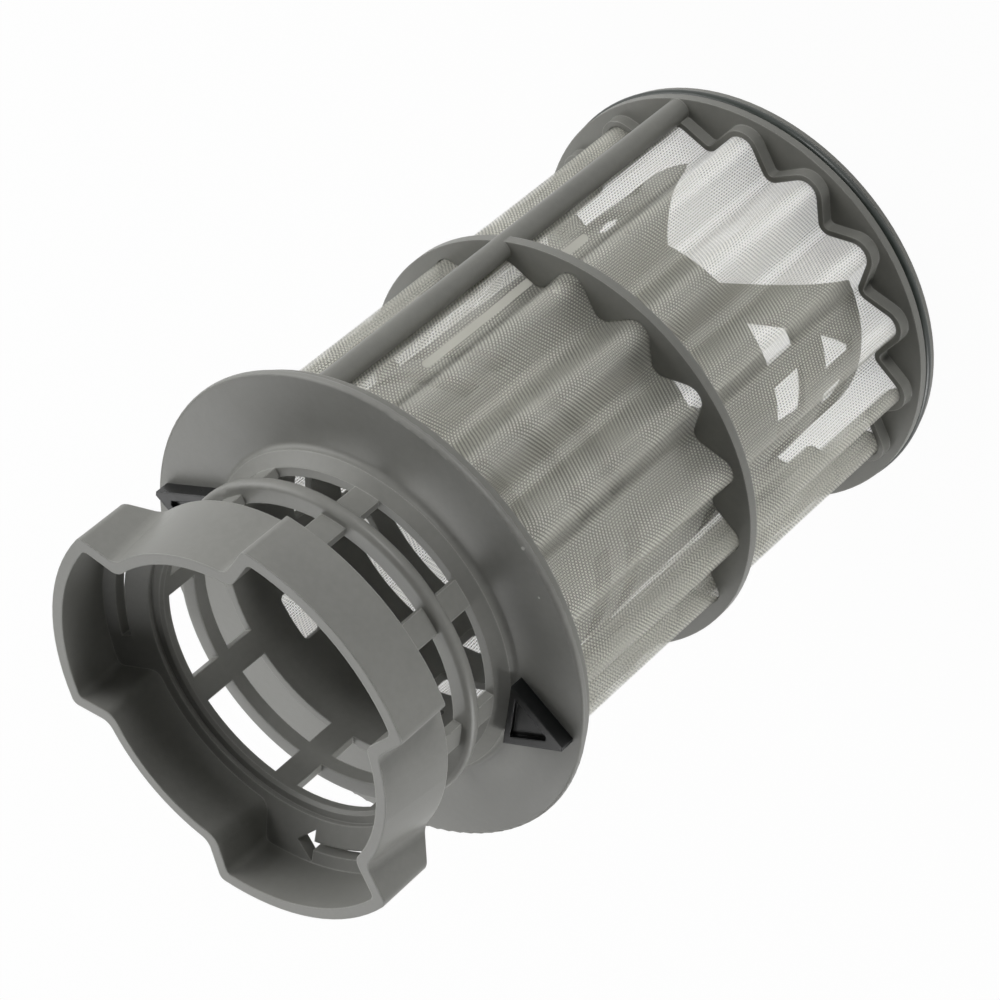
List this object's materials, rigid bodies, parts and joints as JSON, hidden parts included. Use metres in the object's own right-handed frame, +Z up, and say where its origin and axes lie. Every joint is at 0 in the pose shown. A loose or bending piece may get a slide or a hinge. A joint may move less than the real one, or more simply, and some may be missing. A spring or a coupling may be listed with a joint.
{
  "type": "dishwasher filter",
  "caption": "Cylindrical dishwasher filter: coarse strainer with a lobed handle and a round flange, seated in a pleated fine-mesh sleeve with a seal at its foot.",
  "frame": {"origin": "centre of the foot of the end ring, on the surface the filter stands on", "axes": "+Z up along the filter's axis, towards the handle; +X through the right-hand marker on the flange"},
  "size_m": [0.08, 0.08, 0.1287],
  "materials": {
    "grey_plastic": "satin moulded plastic",
    "black_plastic": "satin moulded plastic",
    "frame_plastic": "satin moulded plastic",
    "woven_mesh": "fine woven stainless wire",
    "seal_rubber": "smooth rubber"
  },
  "bodies": {
    "micro_filter": {"filter_frame": "frame_plastic", "micro_mesh": "woven_mesh", "end_seal": "seal_rubber"},
    "coarse_insert": {"coarse_strainer": "grey_plastic", "marker_right": "black_plastic", "marker_left": "black_plastic"}
  },
  "joints": [
    {"name": "insert_lift", "type": "slide", "parent": "micro_filter", "child": "coarse_insert", "axis": [0, 0, 1], "range_m": [0, 0.095]}
  ]
}
